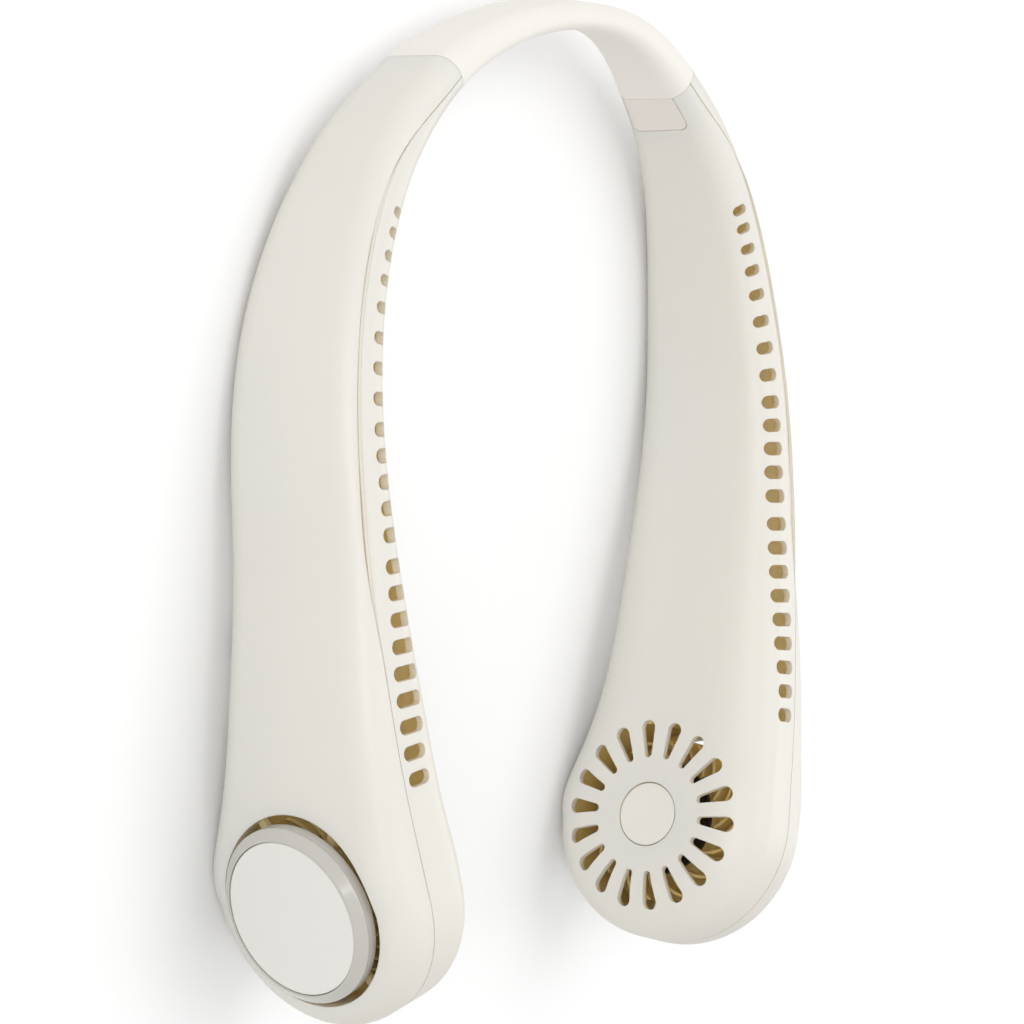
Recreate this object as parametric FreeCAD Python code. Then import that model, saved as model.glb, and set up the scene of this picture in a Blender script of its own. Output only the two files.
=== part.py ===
import FreeCAD, Part
import math
import os

# A neck fan: two hollow arms joined by a soft band into a U, with a fan pod at the end of each
# arm. It is drawn as worn, with the mirror plane at x = 0, +X to the wearer's left, +Y towards
# the back of the neck and +Z up, and then laid down as on a table. Every piece of an arm is drawn
# on the left and mirrored for the right. All sizes are in millimetres and degrees.

Vector = FreeCAD.Vector

# Line of the arm, seen from above: the middle of the top edge, from the band to the pod
band_crest_y = 114.0
band_bend_radius = 81.3
band_bend_end = 19.5
arm_bend_radius = 146.3
arm_bend_end = -4.2
pod_bend_radius = 312.0
pod_bend_end = -14.8
top_edge_z = 1.0

# Places along that line, as lengths from the middle of the band
seam_at = 52.0
neck_at = 60.5
upper_at = 118.8
middle_at = 170.5
lower_at = 214.5
pod_at = 256.4

# Cross-section of the band and the arm at those places
band_height = 15.8
neck_height = 24.3
upper_height = 36.4
middle_height = 44.0
lower_height = 50.9
pod_radius = 31.3
band_thickness = 6.9
neck_thickness = 11.7
upper_thickness = 14.9
middle_thickness = 17.9
lower_thickness = 26.4
pod_thickness = 30.8
band_cant = -13.3
neck_cant = -5.5
upper_cant = -2.5
lower_cant = 5.1
pod_cant = 4.6
band_rise = 10.2
neck_rise = 3.6
rise_end_at = 132.0
outer_band_radius = 3.2
outer_neck_radius = 5.6
outer_upper_radius = 6.6
outer_pod_radius = 7.8
inner_band_depth = 3.2
inner_neck_depth = 5.2
inner_upper_depth = 5.9
inner_pod_depth = 10.9
inner_band_reach = 4.6
inner_neck_reach = 5.2
inner_upper_reach = 6.2
inner_pod_reach = 17.4
least_radius = 0.6

# Shells
wall = 1.8
shell_gap = 0.24
seam_step_places = [52.0, 90.0, 146.0, 191.0, 229.0, 256.4]
seam_steps = [4.8, 10.1, 12.9, 16.5, 18.7, 19.5]
fit_gap = 0.15

# Vent slots on the upper inner edge of the arm
vent_first_at = 93.3
vent_steps = [(1, 5.2), (1, 5.8), (1, 6.0), (1, 6.65), (4, 7.24), (4, 6.22), (1, 7.3), (8, 6.25)]
vent_place_shares = [0.0, 0.23, 0.48, 0.675, 0.86, 1.0]
vent_inner_ends = [2.1, 2.3, 2.8, 4.2, 7.0, 10.0]
vent_outer_ends = [6.2, 7.6, 8.6, 11.3, 15.6, 17.0]
vent_small_width = 2.5
vent_large_width = 3.5
vent_depth = 9.0

# Grille on the pod's inner face
slot_count = 18
slot_turn = -4.3
slot_inner_radius = 15.0
slot_outer_radius = 24.8
slot_inner_width = 2.0
slot_outer_width = 3.9
insert_radius = 8.15
insert_groove = 0.3
insert_thickness = 0.8

# Intake on the pod's outer face
intake_radius = 24.0
collar_wall = 1.4
collar_depth = 5.4
ring_outer_radius = 22.2
ring_inner_radius = 19.5
ring_top_width = 0.5
ring_edge_radius = 0.45
base_sink = 0.8
base_height = 1.5
ring_side_height = 2.1
cap_stand = 4.0
cap_sink = 0.1
cap_edge_radius = 0.3
cap_post_radius = 1.5
cap_post_circle = 11.0
cap_post_count = 3
guard_thickness = 1.4
guard_ring_width = 1.8
guard_plate_radius = 15.0
guard_spoke_count = 6
guard_spoke_width = 2.2

# Motor, measured along its axis from the pod's inner face
boss_radius = 8.8
boss_height = 7.0
board_radius = 14.8
board_thickness = 1.2
board_bore_radius = 3.2
flange_radius = 8.5
flange_thickness = 1.5
stator_radius = 9.9
stator_core_radius = 5.2
stator_height = 6.0
stator_teeth = 9
tooth_width = 1.9
tooth_tip_width = 5.2
tooth_tip_thickness = 1.2
tube_radius = 2.8
bush_radius = 1.95
bush_length = 7.5
shaft_radius = 1.0
shaft_clearance = 0.03
bell_radius = 12.0
bell_wall = 0.75
bell_height = 8.4
magnet_thickness = 0.85
magnet_height = 6.0
magnet_lift = 0.2
rotor_lift = 1.8
seat_gap = 0.05
hub_wall = 1.2
impeller_radius = 21.5
impeller_height = 12.0
impeller_plate = 1.0
vane_count = 26
vane_inner_radius = 14.6
vane_thickness = 0.8
vane_sweep = 22.0
vane_bow = 0.12

# Screws
motor_screw_count = 3
motor_screw_circle = 5.0
motor_screw_radius = 0.8
motor_head_radius = 1.5
motor_head_height = 1.0
band_screw_radius = 0.9
band_screw_offset = 3.4
band_head_radius = 1.7
band_head_height = 0.9
screw_clearance = 0.08

# Air guide: a scroll round the impeller and a floor under the vents
scroll_radius = 26.0
guide_wall = 1.2
scroll_mouth_start = -3.0
scroll_mouth = 77.0
duct_start_at = 84.0
duct_start_depth = 13.0
duct_upper_depth = 17.0
duct_middle_depth = 21.0
duct_lower_depth = 27.5
duct_end_depth = 33.5

# Band inner pieces and the joint between band and arm
band_gap = 0.3
spine_thickness = 0.8
spine_middle_width = 7.0
spine_width = 12.0
spine_rise = -2.0
spine_reach = 15.0
harness_radius = 1.1
harness_middle_rise = 3.9
harness_rise = 6.8
channel_clearance = 0.25
anchor_length = 14.0
anchor_height = 16.0
pad_thickness = 3.2
cover_length = 12.0
cover_corner_radius = 2.6
cover_thickness = 0.9
cover_top_drop = 3.8
cover_bottom_rise = 2.6
band_screw_at = 5.0
band_screw_length = 6.0

# Battery and wiring
battery_at = 148.0
battery_length = 34.0
battery_height = 13.0
battery_thickness = 7.0
battery_edge_radius = 1.2
battery_drop = 29.4
battery_offset = -0.2
rib_thickness = 1.5
rib_reach = 11.0
rib_height = 9.0
lead_radius = 0.6
lead_pitch = 1.5
lead_lift = 2.4
lead_angle = 20.0
lead_entry_radii = [30.0, 21.0, 12.8]
lead_entry_lifts = [2.2, 1.9, 3.4]
bend_share = 0.45

# Controls on the lower edge of the right arm, measured from the board's middle
controls_at = 206.0
controls_offset = 0.8
control_board_length = 36.0
control_board_width = 11.0
control_board_thickness = 1.0
control_board_depth = 7.2
button_place = 11.0
button_length = 9.0
button_width = 4.0
button_proud = 0.7
button_travel = 0.5
button_clearance = 0.15
button_flange = 0.7
button_flange_thickness = 0.9
button_slack = 0.8
button_edge_radius = 0.4
switch_length = 6.0
switch_width = 3.6
switch_height = 2.2
plunger_radius = 1.0
plunger_height = 0.5
usb_place = -11.0
usb_length = 8.94
usb_width = 3.26
usb_wall = 0.3
usb_recess = 0.5
usb_base = 1.6
usb_tongue_short = 0.6
usb_tongue_length = 6.7
usb_tongue_thickness = 0.7
light_place = 2.6
light_radius = 0.9
light_height = 0.7
light_chip_length = 1.6
light_chip_width = 0.8
chip_size = 4.0
chip_height = 0.9
chip_place = -2.5

arm_sections = 13
cut_margin = 12.0
weld = 0.2


def blend(stops, values, s):
    """Smooth curve through values at the stops: flat at both ends, never past its neighbours."""
    if s <= stops[0]:
        return values[0]
    if s >= stops[-1]:
        return values[-1]
    last = len(stops) - 1
    rises = [(values[i + 1] - values[i]) / (stops[i + 1] - stops[i]) for i in range(last)]
    slopes = [0.0] * (last + 1)
    for i in range(1, last):
        if rises[i - 1] * rises[i] > 0:
            slopes[i] = 2 * rises[i - 1] * rises[i] / (rises[i - 1] + rises[i])
    i = max(k for k in range(last) if stops[k] <= s)
    span = stops[i + 1] - stops[i]
    f = (s - stops[i]) / span
    value = values[i] * (1 + 2 * f) * (1 - f) ** 2 + values[i + 1] * f * f * (3 - 2 * f)
    return value + span * f * (1 - f) * (slopes[i] * (1 - f) - slopes[i + 1] * f)


def height(s):
    stops = [0, neck_at, upper_at, middle_at, lower_at, pod_at]
    values = [band_height, neck_height, upper_height, middle_height, lower_height, 2 * pod_radius]
    return blend(stops, values, abs(s))


def thickness(s):
    stops = [0, neck_at, upper_at, middle_at, lower_at, pod_at]
    values = [band_thickness, neck_thickness, upper_thickness, middle_thickness,
              lower_thickness, pod_thickness]
    return blend(stops, values, abs(s))


def rim(s):
    """Height of the top edge over the plane of the arms."""
    return blend([0, neck_at, rise_end_at], [band_rise, neck_rise, 0.0], abs(s))


def floor(s):
    return rim(s) - height(s)


def middle(s):
    return rim(s) - height(s) / 2


def edge_size(values, s):
    return blend([0, neck_at, upper_at, pod_at], values, abs(s))


def outer_radius(s):
    """Radius of the two outer edges."""
    return edge_size([outer_band_radius, outer_neck_radius, outer_upper_radius, outer_pod_radius], s)


def inner_depth(s):
    """How far the rounding of the two inner edges goes across the thickness."""
    return edge_size([inner_band_depth, inner_neck_depth, inner_upper_depth, inner_pod_depth], s)


def inner_reach(s):
    """How far the rounding of the two inner edges goes over the inner face."""
    return edge_size([inner_band_reach, inner_neck_reach, inner_upper_reach, inner_pod_reach], s)


def direction(angle):
    return Vector(math.cos(math.radians(angle)), math.sin(math.radians(angle)), 0)


def line_point(s):
    """Point on the line of the arm and the angle of its outward normal, for s from 0 to the pod.

    The line is a tight arc round the neck, a flat arc, a straight run and a last arc to the pod.
    """
    bends = [(band_bend_radius, 90, band_bend_end), (arm_bend_radius, band_bend_end, arm_bend_end),
             (pod_bend_radius, arm_bend_end, pod_bend_end)]
    runs = [(radius * math.radians(start - end), radius, start, end) for radius, start, end in bends]
    runs.insert(2, (pod_at - sum(run[0] for run in runs), 0.0, arm_bend_end, arm_bend_end))
    point = Vector(0, band_crest_y, top_edge_z)
    for length, radius, start, end in runs:
        done = min(s, length)
        angle = start + (end - start) * done / length
        if radius:
            point = point + (direction(angle) - direction(start)) * radius
        else:
            point = point + direction(angle - 90) * done
        s -= done
        if s <= 0:
            break
    return point, angle


def station(s):
    """Origin and the outward, up and along directions of the section at s, left arm positive."""
    side = 1 if s >= 0 else -1
    point, angle = line_point(min(abs(s), pod_at))
    cants = [band_cant, neck_cant, upper_cant, lower_cant, pod_cant]
    cant = math.radians(blend([0, neck_at, upper_at, lower_at, pod_at], cants, abs(s)))
    normal = direction(angle)
    along = direction(angle - 90)
    point = point + along * max(abs(s) - pod_at, 0.0)
    out = normal * math.cos(cant) - Vector(0, 0, math.sin(cant))
    up = normal * math.sin(cant) + Vector(0, 0, math.cos(cant))
    if side < 0:
        point, out, up, along = [Vector(-v.x, v.y, v.z) for v in (point, out, up, along)]
    return point, out, up, along


def place(s, u, v):
    """Point u outwards and v upwards from the line of the arm at s."""
    point, out, up, along = station(s)
    return point + out * u + up * v


def spread(start, end, count):
    return [start + (end - start) * k / (count - 1) for k in range(count)]


def frame_of(origin, x_axis, y_axis, z_axis):
    """Placement that carries the local axes to the given directions."""
    return FreeCAD.Placement(FreeCAD.Matrix(x_axis.x, y_axis.x, z_axis.x, origin.x,
                                            x_axis.y, y_axis.y, z_axis.y, origin.y,
                                            x_axis.z, y_axis.z, z_axis.z, origin.z, 0, 0, 0, 1))


def moved(shape, placement):
    return shape.transformed(placement.toMatrix(), True)


def mirrored(shape):
    return shape.mirror(Vector(0, 0, 0), Vector(1, 0, 0))


def cylinder(radius, low, high, x=0.0, y=0.0):
    return Part.makeCylinder(radius, high - low, Vector(x, y, low))


def tube_ring(inner, outer, low, high):
    return cylinder(outer, low, high).cut(cylinder(inner, low - 1, high + 1))


def stadium(length, width, low, high, x=0.0):
    """Round-ended prism along Z, with its length along X."""
    reach = (length - width) / 2
    side = width / 2
    corners = [Vector(x - reach, side, low), Vector(x + reach, side, low),
               Vector(x + reach, -side, low), Vector(x - reach, -side, low)]
    edges = [Part.LineSegment(corners[0], corners[1]),
             Part.Arc(corners[1], Vector(x + reach + side, 0, low), corners[2]),
             Part.LineSegment(corners[2], corners[3]),
             Part.Arc(corners[3], Vector(x - reach - side, 0, low), corners[0])]
    face = Part.Face(Part.Wire([e.toShape() for e in edges]))
    return face.extrude(Vector(0, 0, high - low))


def on_circle(radius, count, start=0.0):
    """Points of a polar pattern, as (x, y, angle)."""
    angles = [start + 360.0 * k / count for k in range(count)]
    return [(radius * math.cos(math.radians(a)), radius * math.sin(math.radians(a)), a) for a in angles]


def quarter(start, tip, end):
    """Quarter of an ellipse from start to end, with its tangents meeting at the tip."""
    curve = Part.BezierCurve()
    curve.setPoles([start, tip, end])
    curve.setWeight(2, math.sqrt(0.5))
    return curve.toShape()


def section_wire(s, inset=0.0):
    """Outline of the band or arm at s, drawn in by the inset all round, clockwise from the top."""
    half = thickness(s) / 2 - inset
    top = rim(s) - inset
    bottom = floor(s) + inset
    ro = max(outer_radius(s) - inset, least_radius)
    depth = max(inner_depth(s) - inset, least_radius)
    reach = max(inner_reach(s) - inset, least_radius)
    corners = [[(half - ro, top), (half, top), (half, top - ro)],
               [(half, bottom + ro), (half, bottom), (half - ro, bottom)],
               [(depth - half, bottom), (-half, bottom), (-half, bottom + reach)],
               [(-half, top - reach), (-half, top), (depth - half, top)]]
    corners = [[place(s, u, v) for u, v in corner] for corner in corners]
    edges = []
    for before, corner in zip(corners[-1:] + corners[:-1], corners):
        edges.append(Part.LineSegment(before[2], corner[0]).toShape())
        edges.append(quarter(*corner))
    return Part.Wire(edges)


def arm_frame(s, u=0.0, v=0.0):
    """Axes at a place in the arm: X back towards the band, Y up and Z outwards."""
    point, out, up, along = station(s)
    return frame_of(place(s, u, v), along * -1, up, out)


def pod_frame():
    """Pod's own axes, from the middle of the pod."""
    return arm_frame(pod_at, 0, middle(pod_at))


def pod_end(inset=0.0):
    """Round half of the pod beyond its middle: half of the section there, turned half round."""
    half = pod_thickness / 2 - inset
    rim_radius = pod_radius - inset
    ro = max(outer_pod_radius - inset, least_radius)
    depth = max(inner_pod_depth - inset, least_radius)
    reach = max(inner_pod_reach - inset, least_radius)
    inner_edge = [Vector(0, rim_radius - reach, -half), Vector(0, rim_radius, -half),
                  Vector(0, rim_radius, depth - half)]
    outer_edge = [Vector(0, rim_radius, half - ro), Vector(0, rim_radius, half),
                  Vector(0, rim_radius - ro, half)]
    bottom = Vector(0, 0, -half)
    top = Vector(0, 0, half)
    edges = [Part.LineSegment(bottom, inner_edge[0]).toShape(), quarter(*inner_edge),
             Part.LineSegment(inner_edge[2], outer_edge[0]).toShape(), quarter(*outer_edge),
             Part.LineSegment(outer_edge[2], top).toShape(), Part.LineSegment(top, bottom).toShape()]
    profile = Part.Face(Part.Wire(edges))
    return moved(profile.revolve(Vector(0, 0, 0), Vector(0, 0, 1), 180), pod_frame())


def dome_drop(radius):
    """How far the pod's domed inner face falls back from its flat middle at a radius."""
    share = max(radius - pod_radius + inner_pod_reach, 0.0) / inner_pod_reach
    return inner_pod_depth * (1 - math.sqrt(1 - share ** 2))


def arm_solid(inset=0.0, start=seam_at):
    """Whole arm with its pod, drawn in by the inset."""
    wires = [section_wire(s, inset) for s in spread(start, pod_at, arm_sections)]
    return Part.makeLoft(wires, True).fuse(pod_end(inset))


def strip(start, end, limits, count=9):
    """Solid that follows the arm; limits(s) gives its lowest and highest u and v there."""
    wires = []
    for s in spread(start, end, count):
        u0, u1, v0, v1 = limits(s)
        corners = [place(s, u0, v0), place(s, u1, v0), place(s, u1, v1), place(s, u0, v1)]
        wires.append(Part.makePolygon(corners + corners[:1]))
    return Part.makeLoft(wires, True)


def inner_side(gap):
    """Everything on the neck side of the joint between the two shells of an arm."""
    def limits(s):
        inner = -thickness(s) / 2
        step = blend(seam_step_places, seam_steps, s)
        return inner - cut_margin, inner + step + gap, floor(s) - cut_margin, rim(s) + cut_margin

    return strip(seam_at - cut_margin, pod_at + pod_radius + cut_margin, limits, 18)


def vent_places():
    """Place of each vent along the arm."""
    places = [vent_first_at]
    for count, step in vent_steps:
        for number in range(count):
            places.append(places[-1] + step)
    return places


def inner_edge_point(s, across):
    """Point of the arm's surface on its upper inner rounding, at a distance across from the inner face."""
    share = max(1 - across / inner_depth(s), 0.0)
    drop = inner_reach(s) * (1 - math.sqrt(1 - share ** 2))
    return place(s, across - thickness(s) / 2, rim(s) - drop)


def vent_cutters():
    """Round-ended slots across the top edge onto its inner rounding, cut square to the line of their ends."""
    places = vent_places()
    first, last = places[0], places[-1]
    stops = [first + (last - first) * share for share in vent_place_shares]
    cutters = []
    for s in places:
        width = blend([first, (first + last) / 2], [vent_small_width, vent_large_width], s)
        upper_end = inner_edge_point(s, blend(stops, vent_outer_ends, s))
        lower_end = inner_edge_point(s, blend(stops, vent_inner_ends, s))
        run = upper_end - lower_end
        length = run.Length
        run.normalize()
        inward = run.cross(station(s)[3]).normalize()
        prism = stadium(length, width, -vent_depth / 2, vent_depth / 2)
        cutters.append(moved(prism, frame_of((upper_end + lower_end) * 0.5, run, inward.cross(run), inward)))
    return cutters


def slot_prism():
    """One tapered round-ended grille slot on the pod's X axis, deep enough for the domed face."""
    near = slot_inner_radius + slot_inner_width / 2
    far = slot_outer_radius - slot_outer_width / 2
    inner_r = slot_inner_width / 2
    outer_r = slot_outer_width / 2
    lean = math.asin((outer_r - inner_r) / (far - near))
    rise = math.sin(lean)
    run = math.cos(lean)
    z = -pod_thickness / 2 - wall
    tips = [Vector(near - inner_r * rise, inner_r * run, z), Vector(far - outer_r * rise, outer_r * run, z),
            Vector(far - outer_r * rise, -outer_r * run, z), Vector(near - inner_r * rise, -inner_r * run, z)]
    edges = [Part.LineSegment(tips[0], tips[1]),
             Part.Arc(tips[1], Vector(far + outer_r, 0, z), tips[2]),
             Part.LineSegment(tips[2], tips[3]),
             Part.Arc(tips[3], Vector(near - inner_r, 0, z), tips[0])]
    face = Part.Face(Part.Wire([e.toShape() for e in edges]))
    return face.extrude(Vector(0, 0, dome_drop(slot_outer_radius) + 3 * wall))


def slot_cutters():
    """Grille slots, in the pod's own axes."""
    prism = slot_prism()
    cutters = []
    for x, y, angle in on_circle(0.0, slot_count, slot_turn):
        slot = prism.copy()
        slot.rotate(Vector(0, 0, 0), Vector(0, 0, 1), angle)
        cutters.append(slot)
    return cutters


def tube_along(points, radius):
    """Tube on straight runs joined by tangent arcs, each arc as large as its runs allow."""
    edges = []
    start = points[0]
    for before, corner, after in zip(points, points[1:], points[2:]):
        arriving = (corner - before).normalize()
        leaving = (after - corner).normalize()
        back = bend_share * min((corner - before).Length, (after - corner).Length)
        bisector = (leaving - arriving).normalize()
        half_turn = arriving.getAngle(leaving) / 2
        bend = back / math.tan(half_turn)
        arc_start = corner - arriving * back
        arc_end = corner + leaving * back
        crown = corner + bisector * (bend / math.cos(half_turn) - bend)
        edges.append(Part.LineSegment(start, arc_start).toShape())
        edges.append(Part.Arc(arc_start, crown, arc_end).toShape())
        start = arc_end
    edges.append(Part.LineSegment(start, points[-1]).toShape())
    path = Part.Wire(edges)
    ring = Part.makeCircle(radius, points[0], (points[1] - points[0]).normalize())
    return path.makePipeShell([Part.Wire([ring])], True, False)


def motor_levels():
    """Heights along the motor's axis, in the pod's own axes."""
    face = -pod_thickness / 2
    levels = {"face": face, "board": face + boss_height}
    levels["flange"] = levels["board"] + board_thickness
    levels["core"] = levels["flange"] + flange_thickness
    levels["rotor"] = levels["flange"] + rotor_lift
    levels["bell_top"] = levels["rotor"] + bell_height
    levels["bush"] = levels["flange"] + seat_gap
    levels["impeller"] = levels["rotor"] - rotor_lift / 3
    return levels


def motor_boss():
    level = motor_levels()
    return cylinder(boss_radius, level["face"] + wall / 2, level["board"])


def motor_screw_holes(radius, low, high):
    points = on_circle(motor_screw_circle, motor_screw_count, 90.0)
    return [cylinder(radius, low, high, x, y) for x, y, angle in points]


def screw_head_level():
    """Underside of the motor screws' heads, below the grille insert."""
    return -pod_thickness / 2 + insert_thickness + seat_gap + motor_head_height


def insert_pocket():
    face = -pod_thickness / 2
    pocket = cylinder(insert_radius + insert_groove, face - wall, face + insert_thickness + seat_gap)
    heads = motor_screw_holes(motor_head_radius + fit_gap, face, screw_head_level())
    shanks = motor_screw_holes(motor_screw_radius + screw_clearance, face, face + boss_height + 1)
    return [pocket] + heads + shanks


def grille_insert():
    face = -pod_thickness / 2
    return cylinder(insert_radius, face, face + insert_thickness)


def motor_screws():
    level = motor_levels()
    head = screw_head_level()
    heads = motor_screw_holes(motor_head_radius, head - motor_head_height, head)
    shanks = motor_screw_holes(motor_screw_radius, head, level["core"])
    return Part.makeCompound([h.fuse(s).removeSplitter() for h, s in zip(heads, shanks)])


def motor_board():
    level = motor_levels()
    disc = tube_ring(board_bore_radius, board_radius, level["board"], level["flange"])
    holes = motor_screw_holes(motor_screw_radius + screw_clearance, level["board"] - 1, level["core"])
    return disc.cut(holes)


def motor_stator():
    """Flanged bearing tube with the laminated core and its teeth."""
    level = motor_levels()
    low = level["flange"]
    core_low = level["rotor"] + seat_gap
    core_high = core_low + stator_height
    top = level["bush"] + bush_length
    body = cylinder(flange_radius, low, level["core"])
    body = body.fuse([cylinder(tube_radius, low, top), cylinder(stator_core_radius, low, core_high)])
    teeth = []
    for x, y, angle in on_circle(0.0, stator_teeth):
        tooth = Part.makeBox(stator_radius - 1, tooth_width, stator_height, Vector(0, -tooth_width / 2, core_low))
        tip = Part.makeBox(tooth_tip_thickness, tooth_tip_width, stator_height,
                           Vector(stator_radius - 1 - tooth_tip_thickness, -tooth_tip_width / 2, core_low))
        tooth = tooth.fuse(tip)
        tooth.rotate(Vector(0, 0, 0), Vector(0, 0, 1), angle)
        teeth.append(tooth)
    body = body.fuse(teeth)
    body = body.common(cylinder(stator_radius, low, top))
    bore = cylinder(bush_radius + seat_gap, low - 1, top + 1)
    holes = motor_screw_holes(motor_screw_radius + seat_gap, low - 1, level["core"])
    return body.cut([bore] + holes).removeSplitter()


def shaft_bush():
    level = motor_levels()
    return tube_ring(shaft_radius + shaft_clearance, bush_radius, level["bush"], level["bush"] + bush_length)


def rotor_bell():
    """Steel cup over the stator, closed on the outer side, with the shaft."""
    level = motor_levels()
    cup = cylinder(bell_radius, level["rotor"], level["bell_top"])
    cup = cup.cut(cylinder(bell_radius - bell_wall, level["rotor"] - 1, level["bell_top"] - bell_wall))
    shaft = cylinder(shaft_radius, level["flange"] + seat_gap, level["bell_top"])
    return cup.fuse(shaft).removeSplitter()


def rotor_magnet():
    level = motor_levels()
    outer = bell_radius - bell_wall - seat_gap
    low = level["rotor"] + magnet_lift
    return tube_ring(outer - magnet_thickness, outer, low, low + magnet_height)


def vane(low, high):
    """One backward-curved blade between two arcs."""
    inner = Vector(vane_inner_radius, 0, low)
    sweep = math.radians(-vane_sweep)
    outer = Vector(impeller_radius * math.cos(sweep), impeller_radius * math.sin(sweep), low)
    chord = outer - inner
    side = Vector(-chord.y, chord.x, 0).normalize()
    crown = (inner + outer) * 0.5 + side * (vane_bow * chord.Length)
    shift = side * vane_thickness
    edges = [Part.Arc(inner, crown, outer), Part.LineSegment(outer, outer + shift),
             Part.Arc(outer + shift, crown + shift, inner + shift), Part.LineSegment(inner + shift, inner)]
    face = Part.Face(Part.Wire([e.toShape() for e in edges]))
    return face.extrude(Vector(0, 0, high - low))


def impeller():
    """Hub cap over the bell, a middle plate and blades on both sides of it."""
    level = motor_levels()
    low = level["impeller"]
    high = low + impeller_height
    seat = level["bell_top"] + seat_gap
    hub_radius = bell_radius + seat_gap + hub_wall
    plate_low = low + (impeller_height - impeller_plate) / 2
    hub = cylinder(hub_radius, low, seat + hub_wall)
    plate = cylinder(impeller_radius, plate_low, plate_low + impeller_plate)
    blade = vane(low, high)
    blades = []
    for x, y, angle in on_circle(0.0, vane_count):
        copy = blade.copy()
        copy.rotate(Vector(0, 0, 0), Vector(0, 0, 1), angle)
        blades.append(copy)
    body = hub.fuse([plate] + blades)
    body = body.common(cylinder(impeller_radius, low, high + wall))
    return body.cut(cylinder(bell_radius + seat_gap, low - 1, seat)).removeSplitter()


def intake_collar():
    face = pod_thickness / 2
    return tube_ring(intake_radius, intake_radius + collar_wall, face - collar_depth, face - wall / 2)


def intake_guard():
    """Spoked ring under the collar that carries the cap."""
    high = pod_thickness / 2 - collar_depth - seat_gap
    low = high - guard_thickness
    ring = tube_ring(intake_radius, intake_radius + guard_ring_width, low, high)
    spokes = []
    for x, y, angle in on_circle(0.0, guard_spoke_count, 30.0):
        spoke = Part.makeBox(intake_radius + guard_ring_width / 2, guard_spoke_width, guard_thickness,
                             Vector(0, -guard_spoke_width / 2, low))
        spoke.rotate(Vector(0, 0, 0), Vector(0, 0, 1), angle)
        spokes.append(spoke)
    return ring.fuse([cylinder(guard_plate_radius, low, high)] + spokes).removeSplitter()


def cap_base():
    """Round plate in front of the intake, on posts that stand on the guard."""
    face = pod_thickness / 2
    low = face - base_sink
    plate = cylinder(ring_outer_radius, low, face + base_height)
    points = on_circle(cap_post_circle, cap_post_count, 90.0)
    posts = [cylinder(cap_post_radius, face - collar_depth, low + weld, x, y) for x, y, angle in points]
    return plate.fuse(posts).removeSplitter()


def cap_ring():
    """Bevelled trim ring on the edge of the base."""
    face = pod_thickness / 2
    low = face + base_height + seat_gap
    points = [(ring_inner_radius, low), (ring_outer_radius, low), (ring_outer_radius, face + ring_side_height),
              (ring_inner_radius + ring_top_width, face + cap_stand), (ring_inner_radius, face + cap_stand)]
    corners = [Vector(r, 0, z) for r, z in points]
    profile = Part.Face(Part.makePolygon(corners + corners[:1]))
    ring = profile.revolve(Vector(0, 0, 0), Vector(0, 0, 1), 360)
    soft = [e for e in ring.Edges if len(e.Vertexes) == 1 and e.CenterOfMass.z > low + weld
            and e.Curve.Radius > ring_inner_radius + ring_top_width / 2]
    return ring.makeFillet(ring_edge_radius, soft)


def intake_cap():
    """Flat round cover inside the ring."""
    face = pod_thickness / 2
    low = face + base_height + seat_gap
    disc = cylinder(ring_inner_radius - fit_gap, low, face + cap_stand - cap_sink)
    top_edges = [e for e in disc.Edges if len(e.Vertexes) == 1 and e.CenterOfMass.z > low + weld]
    return disc.makeFillet(cap_edge_radius, top_edges)


def duct_depth(s):
    stops = [duct_start_at, upper_at, middle_at, lower_at, pod_at - scroll_radius]
    values = [duct_start_depth, duct_upper_depth, duct_middle_depth, duct_lower_depth, duct_end_depth]
    return blend(stops, values, s)


def air_guide():
    """Scroll wall round the impeller, open towards the arm, joined to the floor under the vents."""
    half = pod_thickness / 2
    scroll = tube_ring(scroll_radius, scroll_radius + guide_wall, -half, half)
    mouth = Part.makeCylinder(scroll_radius + 2 * guide_wall, 2 * pod_thickness, Vector(0, 0, -pod_thickness),
                              Vector(0, 0, 1), scroll_mouth)
    mouth.rotate(Vector(0, 0, 0), Vector(0, 0, 1), scroll_mouth_start)
    scroll = moved(scroll.cut(mouth), pod_frame())

    def limits(s):
        top = rim(s) - duct_depth(s)
        return -thickness(s), thickness(s), top - guide_wall, top

    duct = strip(duct_start_at, pod_at - scroll_radius + guide_wall / 2, limits, 12)
    return scroll.fuse(duct).common(arm_solid(wall + fit_gap))


def neck_band():
    """Silicone sleeve with a flat channel for the spine and a round one for the cable."""
    end = seam_at - band_gap
    sleeve = Part.makeLoft([section_wire(s) for s in spread(-end, end, 13)], True)
    return sleeve.cut([spine_blank(seam_at, channel_clearance), harness(harness_radius + channel_clearance)])


def spine_blank(reach, gap=0.0):
    """Flat strip bent along the band, from one end to the other, grown by the gap."""
    def limits(s):
        centre = middle(s) + spine_rise
        half_width = blend([0, seam_at], [spine_middle_width, spine_width], abs(s)) / 2 + gap
        half_thickness = spine_thickness / 2 + gap
        return -half_thickness, half_thickness, centre - half_width, centre + half_width

    return strip(-reach, reach, limits, 17)


def band_spine():
    holes = band_screw_holes(band_screw_radius + 2 * screw_clearance, -spine_width, spine_width)
    return spine_blank(seam_at + spine_reach).cut(holes + [mirrored(h) for h in holes])


def harness_end():
    return seam_at + wall + anchor_length + 2 * fit_gap


def harness_level(s):
    return middle(s) + blend([0, seam_at], [harness_middle_rise, harness_rise], abs(s))


def harness(radius):
    """Cable through the band, from inside one arm to inside the other."""
    points = [place(s, 0, harness_level(s)) for s in spread(-harness_end(), harness_end(), 16)]
    return tube_along(points, radius)


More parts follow.
